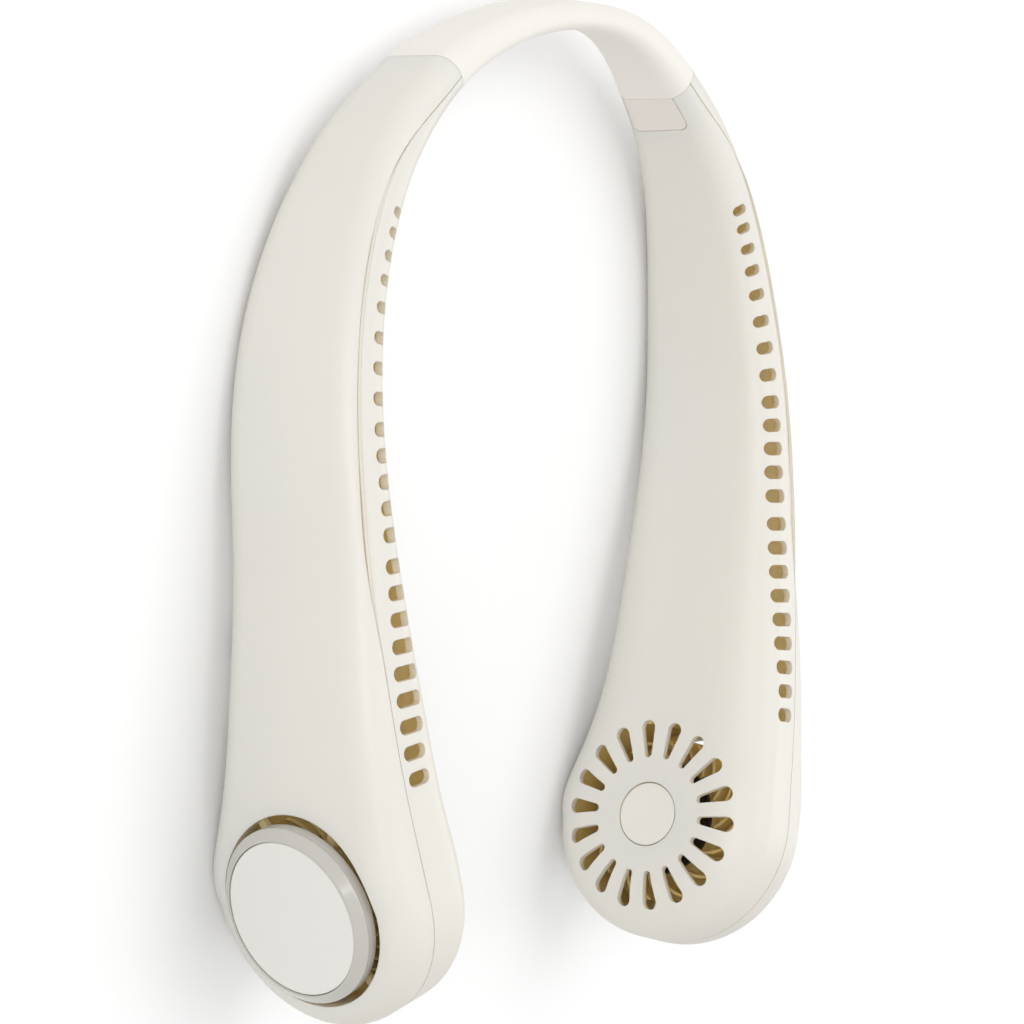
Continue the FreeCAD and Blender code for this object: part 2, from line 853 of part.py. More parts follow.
def band_screw_holes(radius, low, high):
    """Cylinders on the two screws' axes, from low to high along the outward direction."""
    s = seam_at + band_screw_at
    levels = [middle(s) + spine_rise + side * band_screw_offset for side in (-1, 1)]
    return [moved(cylinder(radius, low, high), arm_frame(s, 0, v)) for v in levels]


def band_head_seat():
    """Underside of the band screws' heads, under the screw cover."""
    return -thickness(seam_at + band_screw_at) / 2 + cover_thickness + 2 * seat_gap + band_head_height


def band_screws():
    seat = band_head_seat()
    heads = band_screw_holes(band_head_radius, seat - band_head_height, seat)
    shanks = band_screw_holes(band_screw_radius, seat, seat + band_screw_length)
    return Part.makeCompound([h.fuse(s).removeSplitter() for h, s in zip(heads, shanks)])


def band_anchor():
    """Block in the end of the arm that the spine's end is screwed into."""
    start = seam_at + wall + fit_gap

    def limits(s):
        half = thickness(s) / 2
        centre = middle(s) + spine_rise / 2
        return (pad_thickness + fit_gap - half, half - wall - fit_gap,
                centre - anchor_height / 2, centre + anchor_height / 2)

    block = strip(start, start + anchor_length, limits, 5).common(arm_solid(wall + fit_gap))
    holes = band_screw_holes(band_screw_radius + screw_clearance, -neck_thickness, neck_thickness)
    passages = [spine_blank(seam_at + spine_reach + fit_gap, fit_gap)]
    return block.cut(holes + passages + [harness(harness_radius + channel_clearance)])


def cover_limits(gap, depth):
    """Limits of the screw cover, or of its pocket, on the arm's inner face."""
    def limits(s):
        inner = -thickness(s) / 2
        return inner - wall, inner + depth, floor(s) + cover_bottom_rise - gap, rim(s) - cover_top_drop + gap

    return limits


def cover_blank(start, end, gap, depth):
    """Screw cover, or its pocket, grown by the gap, with round corners at the end away from the band."""
    blank = strip(start, end, cover_limits(gap, depth), 5)
    point, out, up, along = station(end)
    corners = [e for e in blank.Edges if abs((e.CenterOfMass - point).dot(along)) < gap + least_radius
               and abs(e.tangentAt(e.FirstParameter).dot(out)) > 0.9]
    return blank.makeFillet(cover_corner_radius + gap, corners)


def screw_cover():
    return cover_blank(seam_at, seam_at + cover_length, 0.0, cover_thickness).common(arm_solid())


def screw_pad():
    """Thicker wall under the screw cover."""
    def limits(s):
        inner = -thickness(s) / 2
        return inner + wall / 2, inner + pad_thickness, floor(s) + wall / 2, rim(s) - wall / 2

    pad = strip(seam_at, seam_at + cover_length + wall, limits, 5)
    return pad.common(arm_solid(wall / 2))


def battery(gap=0.0):
    """Pouch cell standing against two ribs of the outer shell, grown by the gap."""
    size = Vector(battery_length + 2 * gap, battery_height + 2 * gap, battery_thickness + 2 * gap)
    cell = Part.makeBox(size.x, size.y, size.z, size * -0.5)
    cell = cell.makeFillet(battery_edge_radius, cell.Edges)
    return moved(cell, arm_frame(battery_at, battery_offset, rim(battery_at) - battery_drop))


def battery_ribs():
    """Two ribs of the outer shell, cut to the flat side of the cell."""
    def limits(s):
        centre = rim(s) - battery_drop
        return battery_thickness / 4, thickness(s), centre - rib_height / 2, centre + rib_height / 2

    inside = arm_solid(wall / 2)
    ribs = []
    for centre in (battery_at - rib_reach, battery_at + rib_reach):
        rib = strip(centre - rib_thickness / 2, centre + rib_thickness / 2, limits, 3)
        ribs.append(rib.common(inside).cut(battery(fit_gap)))
    return ribs


def lead_points(shift):
    """Route of one motor lead: from the cable's end, up onto the duct floor and down to the pod."""
    end = harness_end() + lead_radius
    points = [place(end, 0, harness_level(end) + shift)]
    for s in spread(duct_start_at + lead_lift, lower_at, 7):
        side = -thickness(s) / 2 + wall + 2 * lead_radius
        points.append(place(s, side, rim(s) - duct_depth(s) + lead_lift + shift))
    angle = math.radians(lead_angle)
    for radius, lift in zip(lead_entry_radii, lead_entry_lifts):
        depth = motor_levels()["face"] + dome_drop(radius) + wall + lift
        spot = Vector(radius * math.cos(angle), radius * math.sin(angle) + shift, depth)
        points.append(pod_frame().multVec(spot))
    return points


def motor_leads():
    return Part.makeCompound([tube_along(lead_points(k * lead_pitch / 2), lead_radius) for k in (-1, 1)])


def inner_shell(case):
    """Neck side of the arm: vents, grille, motor boss and the pocket of the screw cover."""
    frame = pod_frame()
    shell = case.common(inner_side(-shell_gap / 2))
    shell = shell.fuse([moved(motor_boss(), frame), screw_pad()])
    pocket = cover_blank(seam_at - fit_gap, seam_at + cover_length + fit_gap, fit_gap,
                         cover_thickness + seat_gap)
    seat = band_head_seat()
    half = neck_thickness
    cutters = vent_cutters() + [moved(c, frame) for c in slot_cutters() + insert_pocket()]
    cutters += [pocket] + band_screw_holes(band_head_radius + fit_gap, -half, seat)
    cutters += band_screw_holes(band_screw_radius + screw_clearance, -half, 0)
    return shell.cut(cutters + end_passages())


def end_passages():
    """Way for the spine and the cable through the arm's end wall."""
    gap = channel_clearance
    return [spine_blank(seam_at + 2 * wall, gap), harness(harness_radius + gap)]


def outer_shell(case):
    """Outer side of the arm: the lid with the intake hole, its collar and the battery ribs."""
    frame = pod_frame()
    shell = case.cut(inner_side(shell_gap / 2))
    collar = moved(intake_collar(), frame).common(arm_solid(wall / 2))
    shell = shell.fuse([collar] + battery_ribs())
    hole = moved(cylinder(intake_radius, 0, pod_thickness), frame)
    return shell.cut([hole] + end_passages())


def controls_frame():
    """Axes of the controls: X along the lower edge, Z out of it, from the edge's surface."""
    def edge(s):
        return place(s, controls_offset, floor(s))

    point, out, up, along = station(controls_at)
    run = (edge(controls_at + 1) - edge(controls_at - 1)).normalize()
    normal = out.cross(run).normalize()
    return frame_of(edge(controls_at), run, normal.cross(run), normal)


def edge_level(x):
    """Height of the arm's lower edge over the controls' plane, x along it from the middle."""
    s = controls_at + x
    return controls_frame().inverse().multVec(place(s, controls_offset, floor(s))).z


def control_board():
    low = -control_board_depth - control_board_thickness
    size = Vector(control_board_length, control_board_width, control_board_thickness)
    board = Part.makeBox(size.x, size.y, size.z, Vector(-size.x / 2, -size.y / 2, low))
    light = Part.makeBox(light_chip_length, light_chip_width, light_height,
                         Vector(light_place - light_chip_length / 2, -light_chip_width / 2, -control_board_depth))
    chip = Part.makeBox(chip_size, chip_size, chip_height,
                        Vector(chip_place - chip_size / 2, -chip_size / 2, low - chip_height))
    return board.fuse([light, chip]).removeSplitter()


def tact_switch():
    low = -control_board_depth + seat_gap
    body = Part.makeBox(switch_length, switch_width, switch_height,
                        Vector(button_place - switch_length / 2, -switch_width / 2, low))
    top = low + switch_height
    return body.fuse(cylinder(plunger_radius, top - weld, top + plunger_height, button_place)).removeSplitter()


def power_button():
    """Oval cap with a retaining flange behind the wall and a stem over the switch."""
    surface = edge_level(button_place)
    flange_top = surface - wall - button_slack
    stem_end = -control_board_depth + seat_gap + switch_height + plunger_height + button_travel + seat_gap
    cap = stadium(button_length, button_width, flange_top - weld, surface + button_proud, button_place)
    rim_edges = [e for e in cap.Edges if e.BoundBox.ZMin > surface]
    cap = cap.makeFillet(button_edge_radius, rim_edges)
    flange = stadium(button_length + 2 * button_flange, button_width + 2 * button_flange,
                     flange_top - button_flange_thickness, flange_top, button_place)
    stem = cylinder(plunger_radius, stem_end, flange_top, button_place)
    return cap.fuse([flange, stem]).removeSplitter()


def usb_socket():
    """Upright receptacle: a round-ended steel shell with its contact tongue."""
    low = -control_board_depth + seat_gap
    mouth = edge_level(usb_place) - usb_recess
    base = low + usb_base
    shell = stadium(usb_length, usb_width, low, mouth, usb_place)
    shell = shell.cut(stadium(usb_length - 2 * usb_wall, usb_width - 2 * usb_wall, base, mouth + 1, usb_place))
    tongue = Part.makeBox(usb_tongue_length, usb_tongue_thickness, mouth - base - usb_tongue_short + weld,
                          Vector(usb_place - usb_tongue_length / 2, -usb_tongue_thickness / 2, base - weld))
    return shell.fuse(tongue).removeSplitter()


def status_light():
    low = -control_board_depth + light_height + seat_gap
    return cylinder(light_radius, low, edge_level(light_place), light_place)


def control_holes():
    """Holes for the button, the charging socket and the light in the lower edge."""
    gap = button_clearance
    inside = -control_board_depth
    outside = cut_margin
    return [stadium(button_length + 2 * gap, button_width + 2 * gap, inside, outside, button_place),
            stadium(usb_length + 2 * gap, usb_width + 2 * gap, inside, outside, usb_place),
            cylinder(light_radius + gap, inside, outside, light_place)]


def pod_pieces():
    """Pieces of one pod, drawn in the pod's own axes."""
    return {"grille_insert": grille_insert(), "motor_screws": motor_screws(), "motor_board": motor_board(),
            "motor_stator": motor_stator(), "shaft_bush": shaft_bush(), "rotor_bell": rotor_bell(),
            "rotor_magnet": rotor_magnet(), "impeller": impeller(), "intake_guard": intake_guard(),
            "cap_base": cap_base(), "cap_ring": cap_ring(), "intake_cap": intake_cap()}


def arm_pieces(case):
    """Pieces of the left arm."""
    pieces = {name: moved(shape, pod_frame()) for name, shape in pod_pieces().items()}
    pieces.update({"inner_shell": inner_shell(case), "outer_shell": outer_shell(case),
                   "screw_cover": screw_cover(), "band_anchor": band_anchor(), "band_screws": band_screws(),
                   "air_guide": air_guide(), "battery": battery(), "motor_leads": motor_leads()})
    return pieces


def control_pieces():
    """Pieces of the controls, which only the right arm has, drawn on the left."""
    pieces = {"control_board": control_board(), "tact_switch": tact_switch(), "power_button": power_button(),
              "usb_socket": usb_socket(), "status_light": status_light()}
    return {name: moved(shape, controls_frame()) for name, shape in pieces.items()}


def lowest(points, tilt):
    lean = math.radians(tilt)
    return min(p.z * math.cos(lean) - p.y * math.sin(lean) for p in points)


def lying_placement(band, arm):
    """Lays the fan down as on a table, with the middle of its base at the origin.

    The turn about X is the one that brings the lowest point of the band's half of the fan down
    to the level of the pods.
    """
    points = band.tessellate(0.02)[0] + arm.tessellate(0.02)[0]
    back_points = [p for p in points if p.y > 0]
    pod_points = [p for p in points if p.y < 0]
    low, high = 0.0, 45.0
    for step in range(40):
        tilt = (low + high) / 2
        if lowest(back_points, tilt) > lowest(pod_points, tilt):
            low = tilt
        else:
            high = tilt
    turn = FreeCAD.Rotation(Vector(1, 0, 0), -tilt)
    turned = [turn.multVec(p) for p in points]
    back = max(p.y for p in turned)
    front = min(p.y for p in turned)
    return FreeCAD.Placement(Vector(0, -(front + back) / 2, -min(p.z for p in turned)), turn)


arm = arm_solid()
case = arm.cut(arm_solid(wall, seam_at + wall))
pieces = {"neck_band": neck_band(), "band_spine": band_spine(), "band_harness": harness(harness_radius)}
for name, shape in arm_pieces(case).items():
    pieces["left_" + name] = shape
    if name == "inner_shell":
        shape = shape.cut([moved(hole, controls_frame()) for hole in control_holes()])
    pieces["right_" + name] = mirrored(shape)
for name, shape in control_pieces().items():
    pieces[name] = mirrored(shape)

lying = lying_placement(pieces["neck_band"], arm)
os.makedirs("parts", exist_ok=True)
for name, shape in pieces.items():
    solids = [moved(solid, lying) for solid in shape.Solids]
    Part.makeCompound(solids).exportStep("parts/" + name + ".step")
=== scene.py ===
import bpy
import numpy as np
from mathutils import Matrix, Vector


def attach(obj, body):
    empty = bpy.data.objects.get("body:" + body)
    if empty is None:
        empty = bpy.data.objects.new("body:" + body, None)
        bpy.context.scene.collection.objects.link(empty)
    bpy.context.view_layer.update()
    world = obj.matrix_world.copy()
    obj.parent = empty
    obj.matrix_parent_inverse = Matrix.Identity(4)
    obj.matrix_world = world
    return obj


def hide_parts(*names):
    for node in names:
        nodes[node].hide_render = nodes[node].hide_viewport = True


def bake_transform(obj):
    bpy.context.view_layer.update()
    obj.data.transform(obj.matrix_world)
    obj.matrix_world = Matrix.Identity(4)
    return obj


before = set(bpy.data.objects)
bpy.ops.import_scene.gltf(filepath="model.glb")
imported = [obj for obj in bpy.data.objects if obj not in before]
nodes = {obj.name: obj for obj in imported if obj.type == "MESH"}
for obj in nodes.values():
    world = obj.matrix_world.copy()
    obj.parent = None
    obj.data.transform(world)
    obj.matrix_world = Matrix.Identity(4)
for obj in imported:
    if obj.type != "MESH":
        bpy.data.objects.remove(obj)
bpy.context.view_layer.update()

# Neck band: one sleeve of warm white silicone rubber, moulded over the spring strip and the cable.
# It is the only part that bends. Its two halves meet at the middle of the neck without a step.
line_crest = 114.0
line_height = 1.0
line_runs = [
    (81.3, 90.0, 19.5, 0.0),
    (146.3, 19.5, -4.2, 0.0),
    (0.0, -4.2, -4.2, 38.13),
    (312.0, -4.2, -14.8, 0.0),
]
pod_at = 256.4
cant_stops = [0.0, 60.5, 118.8, 214.5, pod_at]
cant_angles = [-13.3, -5.5, -2.5, 5.1, 4.6]
lying_turn = np.radians(-11.646037)
lying_shift = np.array([0.0, 7.602392, 42.958064])
seam_at = 52.0
sleeve_end = 51.92
sleeve_steps = 57
sleeve_corner_steps = 9
band_stops = [0.0, 60.5, 118.8, 170.5]
band_heights = [15.8, 24.3, 36.4, 44.0]
band_thicknesses = [6.9, 11.7, 14.9, 17.9]
flips = {"left": np.array([1.0, 1.0, 1.0]), "right": np.array([-1.0, 1.0, 1.0])}


def eased(stops, values, s):
    """Smooth curve through the values at the stops: flat at the ends, a cubic between stops."""
    stops = np.array(stops, float)
    values = np.array(values, float)
    rises = np.diff(values) / np.diff(stops)
    slopes = np.zeros(len(stops))
    same = rises[:-1] * rises[1:] > 0
    total = np.where(same, rises[:-1] + rises[1:], 1.0)
    slopes[1:-1] = np.where(same, 2 * rises[:-1] * rises[1:] / total, 0.0)
    s = np.clip(s, stops[0], stops[-1])
    i = np.clip(np.searchsorted(stops, s, side="right") - 1, 0, len(stops) - 2)
    span = stops[i + 1] - stops[i]
    f = (s - stops[i]) / span
    level = values[i] * (1 + 2 * f) * (1 - f) ** 2 + values[i + 1] * f * f * (3 - 2 * f)
    return level + span * f * (1 - f) * (slopes[i] * (1 - f) - slopes[i + 1] * f)


def carried(s, across, up):
    """Points in metres, lying on the table: the line of the arm at s, plus across and up from it.

    The line is an arc round the neck, a flatter arc, a straight run and a slight arc to the pod.
    Each run has a radius, the angles at its start and end, and a straight length. Across points
    outwards along the line's normal, and the section leans by the cant, which eases from the band
    to the pod.
    """
    s = np.asarray(s, float)
    x = np.zeros_like(s)
    y = np.full_like(s, line_crest)
    angle = np.full_like(s, 90.0)
    done = 0.0
    for radius, start, end, straight in line_runs:
        run = straight + radius * np.radians(start - end)
        part = np.clip(s - done, 0, run) / run
        turned = start + (end - start) * part
        first, now = np.radians(start), np.radians(turned)
        x = x + radius * (np.cos(now) - np.cos(first)) + straight * part * np.sin(first)
        y = y + radius * (np.sin(now) - np.sin(first)) - straight * part * np.cos(first)
        angle = np.where(s > done, turned, angle)
        done += run
    cant = np.radians(eased(cant_stops, cant_angles, s))
    out = across * np.cos(cant) + up * np.sin(cant)
    px = x + np.cos(np.radians(angle)) * out
    py = y + np.sin(np.radians(angle)) * out
    pz = line_height - across * np.sin(cant) + up * np.cos(cant)
    c, d = np.cos(lying_turn), np.sin(lying_turn)
    laid = np.stack([px, py * c - pz * d, py * d + pz * c], axis=-1) + lying_shift
    return laid / 1000


def band_rim(s):
    """Height of the upper edge over the line: highest at the neck, level with it at mid-arm."""
    return eased([0.0, 60.5, 132.0], [10.2, 3.6, 0.0], s)


def band_middle(s):
    """Height of the middle of the section over the line: half a section height under the rim."""
    return band_rim(s) - eased(band_stops, band_heights, s) / 2


def tube_mesh(name, rings, flip, sharp_from=0.7):
    """Closed tube through rings of points: quads between neighbours, one face at each end.

    Edges that bend by more than sharp_from, in radians, stay sharp.
    """
    rows, count = rings.shape[:2]
    points = rings.reshape(-1, 3) * flip
    here = np.arange(rows - 1)[:, None] * count + np.arange(count)
    there = np.arange(rows - 1)[:, None] * count + (np.arange(count) + 1) % count
    quads = np.stack([here, there, there + count, here + count], axis=-1).reshape(-1, 4)
    first = np.arange(count)[::-1]
    last = np.arange(count) + (rows - 1) * count
    faces = quads.tolist() + [first.tolist(), last.tolist()]
    if flip[0] < 0:
        faces = [face[::-1] for face in faces]
    mesh = bpy.data.meshes.new(name)
    mesh.from_pydata(points.tolist(), [], faces)
    mesh.polygons.foreach_set("use_smooth", np.ones(len(faces), bool))
    mesh.set_sharp_from_angle(angle=sharp_from)
    piece = bpy.data.objects.new(name, mesh)
    bpy.context.scene.collection.objects.link(piece)
    return piece


def sleeve_rings(s, corner_steps):
    """Outline of the sleeve at each s: a flat oval with quarters of an ellipse as its corners."""
    half = eased(band_stops, band_thicknesses, s)[:, None] / 2
    top = band_rim(s)[:, None]
    bottom = top - eased(band_stops, band_heights, s)[:, None]
    outer = eased(band_stops[:3], [3.2, 5.6, 6.6], s)[:, None]
    depth = eased(band_stops[:3], [3.2, 5.2, 5.9], s)[:, None]
    reach = eased(band_stops[:3], [4.6, 5.2, 6.2], s)[:, None]
    turn = np.radians(np.linspace(0, 90, corner_steps))[None, :]
    corners = [
        (half - outer, top - outer, outer, outer, 90),
        (half - outer, bottom + outer, outer, outer, 0),
        (depth - half, bottom + reach, depth, reach, -90),
        (depth - half, top - reach, depth, reach, -180),
    ]
    across = np.hstack([u + ru * np.cos(np.radians(a) - turn) for u, v, ru, rv, a in corners])
    up = np.hstack([v + rv * np.sin(np.radians(a) - turn) for u, v, ru, rv, a in corners])
    return carried(np.repeat(s[:, None], across.shape[1], 1), across, up)


def linear(code):
    """Linear colour of an sRGB hex code."""
    share = np.array([int(code[k:k + 2], 16) for k in (1, 3, 5)]) / 255
    value = np.where(share <= 0.04045, share / 12.92, ((share + 0.055) / 1.055) ** 2.4)
    return (*value.tolist(), 1.0)


def add_node(material, kind, settings=None, inputs=None, links=None):
    """Adds one node with its settings, its input values and the outputs that feed its inputs."""
    tree = material.node_tree
    node = tree.nodes.new(kind)
    for name, value in (settings or {}).items():
        setattr(node, name, value)
    for socket, value in (inputs or {}).items():
        node.inputs[socket].default_value = value
    for socket, output in (links or {}).items():
        tree.links.new(output, node.inputs[socket])
    return node


def new_material(name):
    """Material with an empty node tree, and the object coordinates that its patterns follow."""
    material = bpy.data.materials.new(name)
    material.use_nodes = True
    material.node_tree.nodes.clear()
    return material, add_node(material, "ShaderNodeTexCoord").outputs["Object"]


def noise(material, place, lump_mm, detail):
    """Cloudy pattern with lumps of about the given size."""
    inputs = {"Scale": 1000 / lump_mm, "Detail": detail}
    return add_node(material, "ShaderNodeTexNoise", None, inputs, {"Vector": place}).outputs["Fac"]


def toned(material, deep, pale, pattern):
    """Colour that goes from deep to pale with the pattern."""
    inputs = {6: linear(deep), 7: linear(pale)}
    mix = add_node(material, "ShaderNodeMix", {"data_type": "RGBA"}, inputs, {0: pattern})
    return mix.outputs[2]


def ranged(material, low, high, pattern):
    """Value that goes from low to high with the pattern."""
    inputs = {"To Min": low, "To Max": high}
    return add_node(material, "ShaderNodeMapRange", None, inputs, {"Value": pattern}).outputs[0]


def bumped(material, pattern, strength, depth_mm, normal=None):
    """Normal that the pattern disturbs, on top of another normal where one is given."""
    inputs = {"Strength": strength, "Distance": depth_mm / 1000}
    links = {"Height": pattern}
    if normal:
        links["Normal"] = normal
    return add_node(material, "ShaderNodeBump", None, inputs, links).outputs[0]


def finished(material, shader):
    """The material, with the shader as its surface."""
    add_node(material, "ShaderNodeOutputMaterial", None, None, {"Surface": shader.outputs[0]})
    return material


def moulded_silicone():
    """Silicone rubber from a bead-blasted mould: broad highlights, faint clouds, fine grain."""
    material, place = new_material("silicone_rubber_moulded")
    cloud = noise(material, place, 30.0, 2.0)
    grain = noise(material, place, 0.6, 2.0)
    rubber = {"IOR": 1.41, "Sheen Weight": 0.08}
    shader = add_node(material, "ShaderNodeBsdfPrincipled", None, rubber, {
        "Base Color": toned(material, "#e3dfd8", "#e8e4de", cloud),
        "Roughness": ranged(material, 0.48, 0.60, cloud),
        "Normal": bumped(material, grain, 0.10, 0.06),
    })
    return finished(material, shader)


silicone = moulded_silicone()
bend_start = carried(np.array(0.0), 0.0, band_middle(0.0))
bend_end = carried(np.array(sleeve_end), 0.0, band_middle(sleeve_end))
for side, flip in flips.items():
    rings = sleeve_rings(np.linspace(0.0, sleeve_end, sleeve_steps), sleeve_corner_steps)
    sleeve = tube_mesh(side + "_band_sleeve", rings, flip)
    sleeve.data.materials.append(silicone)
    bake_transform(sleeve)
    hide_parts("neck_band")

# Spine: a flat strip of blue-tempered spring steel inside the sleeve. It lets the arms spread and
# brings them back, and its ends are screwed to the anchors in the arms.
spine_end = 67.0
spine_steps = 48
spine_half_thickness = 0.4
spine_half_widths = [3.5, 6.0]
spine_drop = 2.0


def rolled_spring_steel():
    """Spring steel, cold rolled and tempered: long fine streaks and a cool grey shine."""
    material, place = new_material("spring_steel_rolled")
    stretch = {"Scale": (1 / 0.012, 1 / 0.012, 1 / 0.0004)}
    spread = add_node(material, "ShaderNodeMapping", None, stretch, {"Vector": place}).outputs[0]
    streak = add_node(material, "ShaderNodeTexNoise", None, {"Scale": 1.0, "Detail": 3.0},
                      {"Vector": spread}).outputs["Fac"]
    shader = add_node(material, "ShaderNodeBsdfPrincipled", None, {"Metallic": 1.0}, {
        "Base Color": toned(material, "#8d9095", "#a9abae", streak),
        "Roughness": ranged(material, 0.22, 0.38, streak),
    })
    return finished(material, shader)


def spine_rings(s):
    """Section of the strip at each s: a thin rectangle below the middle, wider at its ends."""
    centre = (band_middle(s) - spine_drop)[:, None]
    half_width = eased([0.0, seam_at], spine_half_widths, s)[:, None]
    across = np.array([1.0, 1.0, -1.0, -1.0]) * spine_half_thickness + 0 * centre
    up = np.array([1.0, -1.0, -1.0, 1.0]) * half_width + centre
    return carried(np.repeat(s[:, None], 4, 1), across, up)


spring_steel = rolled_spring_steel()
for side, flip in flips.items():
    rings = spine_rings(np.linspace(0.0, spine_end, spine_steps))
    strip = tube_mesh(side + "_spine_half", rings, flip)
    strip.data.materials.append(spring_steel)
    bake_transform(strip)
    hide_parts("band_spine")

# Band cable: the black PVC cable that joins the two arms, lying in its own channel of the sleeve
# above the spine.
cable_end = 68.1
cable_steps = 60
cable_radius = 1.1
cable_lifts = [3.9, 6.8]
cable_sides = 20


def extruded_pvc(name, deep, pale):
    """PVC insulation, extruded: smooth, with a slight orange peel that breaks up its gloss."""
    material, place = new_material(name)
    peel = noise(material, place, 1.2, 2.0)
    shader = add_node(material, "ShaderNodeBsdfPrincipled", None, {"IOR": 1.53}, {
        "Base Color": toned(material, deep, pale, peel),
        "Roughness": ranged(material, 0.30, 0.42, peel),
        "Normal": bumped(material, peel, 0.15, 0.05),
    })
    return finished(material, shader)


def cable_rings(s):
    """Circle round the cable's line, which runs above the middle of the sleeve."""
    turn = np.linspace(0, 2 * np.pi, cable_sides, endpoint=False)[None, ::-1]
    centre = (band_middle(s) + eased([0.0, seam_at], cable_lifts, s))[:, None]
    across = cable_radius * np.cos(turn) + 0 * centre
    up = cable_radius * np.sin(turn) + centre
    return carried(np.repeat(s[:, None], cable_sides, 1), across, up)


black_pvc = extruded_pvc("pvc_black_extruded", "#1b1b1c", "#262627")
for side, flip in flips.items():
    rings = cable_rings(np.linspace(0.0, cable_end, cable_steps))
    cable = tube_mesh(side + "_cable_half", rings, flip)
    cable.data.materials.append(black_pvc)
    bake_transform(cable)
    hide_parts("band_harness")

# Arm shells: two thin ABS mouldings per arm, the outer lid with the intake hole and the inner half
# with the vents and the grille. The moulds are finely spark-eroded, which gives a satin surface.
# The wall is thin enough for some light to come through it.


def moulded_plastic(name, deep, pale, rough_low, rough_high, grain_mm,
                    edge_mm=0.2, thin_share=0.0):
    """Plastic, injection moulded: nearly even colour, a slowly drifting gloss, a fine mould grain.

    Edges catch the light as a narrow rounding. A thin wall lets a share of the light through,
    which the resin turns golden, so that the hollow behind the slots glows a little. The grain is
    finer on the real part and is drawn at the size in millimetres given here, so that it shows.
    """
    material, place = new_material(name)
    drift = noise(material, place, 45.0, 2.0)
    grain = noise(material, place, grain_mm, 3.0)
    soft_edge = add_node(material, "ShaderNodeBevel", {"samples": 4}, {"Radius": edge_mm / 1000})
    surface = add_node(material, "ShaderNodeBsdfPrincipled", None, {"IOR": 1.53}, {
        "Base Color": toned(material, deep, pale, drift),
        "Roughness": ranged(material, rough_low, rough_high, drift),
        "Normal": bumped(material, grain, 0.08, 0.05, soft_edge.outputs[0]),
    })
    if thin_share:
        golden = {"Color": linear("#ffe69a")}
        through = add_node(material, "ShaderNodeBsdfTranslucent", None, golden)
        surface = add_node(material, "ShaderNodeMixShader", None, {0: thin_share},
                           {1: surface.outputs[0], 2: through.outputs[0]})
    return finished(material, surface)


def dress(material, *names):
    """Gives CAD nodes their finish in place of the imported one."""
    for name in names:
        slots = nodes[name].data.materials
        slots.clear()
        slots.append(material)


shell_abs = moulded_plastic("abs_warm_white_satin", "#ebeeed", "#eff2f1", 0.34, 0.44, 0.5,
                            edge_mm=0.4, thin_share=0.27)
dress(shell_abs, "left_outer_shell", "left_inner_shell", "right_outer_shell", "right_inner_shell")

# Shell tongues: a narrow rib of the outer shell, in the same ABS, that fills the joint with the
# inner shell to just under the surface. It runs along the top of the arm and half round the pod.
pod_radius = 31.3
tongue_start = 52.2
tongue_steps = 150
tongue_turns = 90
tongue_corners = np.array([[-0.1, -0.18], [0.1, -0.18], [0.1, -1.1], [-0.1, -1.1]])
arm_stops = [*band_stops, 214.5, pod_at]
arm_thicknesses = [*band_thicknesses, 26.4, 30.8]
joint_stops = [seam_at, 90.0, 146.0, 191.0, 229.0, pod_at]
joint_steps = [4.8, 10.1, 12.9, 16.5, 18.7, 19.5]


def tongue_rings():
    """Rectangle across the joint, carried along the top edge and then round the middle of the pod.

    The joint's place across the arm is its step from the inner face, less half the thickness.
    """
    s = np.linspace(tongue_start, pod_at, tongue_steps)[:, None]
    wide, deep = tongue_corners[:, 0], tongue_corners[:, 1]
    joint = eased(joint_stops, joint_steps, s) - eased(arm_stops, arm_thicknesses, s) / 2
    along_top = carried(s + 0 * wide, joint + wide, band_rim(s) + deep)
    pod_joint = joint[-1, 0]
    hub = carried(np.array(pod_at), pod_joint, -pod_radius)
    out = carried(np.array(pod_at), pod_joint + 1, -pod_radius) - hub
    up = carried(np.array(pod_at), pod_joint, 1 - pod_radius) - hub
    away = np.cross(out, up) * 1000
    turn = np.radians(np.linspace(0, 180, tongue_turns))[1:, None]
    forward = (np.sin(turn) * (pod_radius + deep))[..., None] * away
    upward = (np.cos(turn) * (pod_radius + deep))[..., None] * up
    return np.vstack([along_top, hub + forward + upward + wide[None, :, None] * out])


for side, flip in flips.items():
    tongue = tube_mesh(side + "_shell_tongue", tongue_rings(), flip)
    tongue.data.materials.append(shell_abs)
    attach(tongue, side + "_arm")

# Grille inserts: round ABS plugs from the same resin as the shells, with a plain face. They are
# pressed into the middle of each grille and hide the heads of the motor screws.
insert_abs = moulded_plastic("abs_warm_white_plug", "#dfdbd2", "#e3dfd7", 0.34, 0.44, 0.5,
                             edge_mm=0.3)
dress(insert_abs, "left_grille_insert", "right_grille_insert")

# Screw covers: thin ABS panels from a smoother mould than the arm's. They are stuck into a shallow
# pocket of the inner shell, over the screws that hold the band.
cover_abs = moulded_plastic("abs_warm_white_smooth", "#dcd6cf", "#e0dad4", 0.26, 0.34, 0.9)
dress(cover_abs, "left_screw_cover", "right_screw_cover")

# Intake caps: a flat cream disc inside a bevelled grey ring, both on a base plate that stands on
# three posts in front of the intake hole. The ring is polished, the disc is satin.
cap_abs = moulded_plastic("abs_cream_satin", "#dcdad4", "#e0ded8", 0.30, 0.40, 0.6)
dress(cap_abs, "left_intake_cap", "right_intake_cap")
ring_abs = moulded_plastic("abs_grey_polished", "#bab7b0", "#bfbcb5", 0.12, 0.18, 1.5)
dress(ring_abs, "left_cap_ring", "right_cap_ring", "left_cap_base", "right_cap_base")

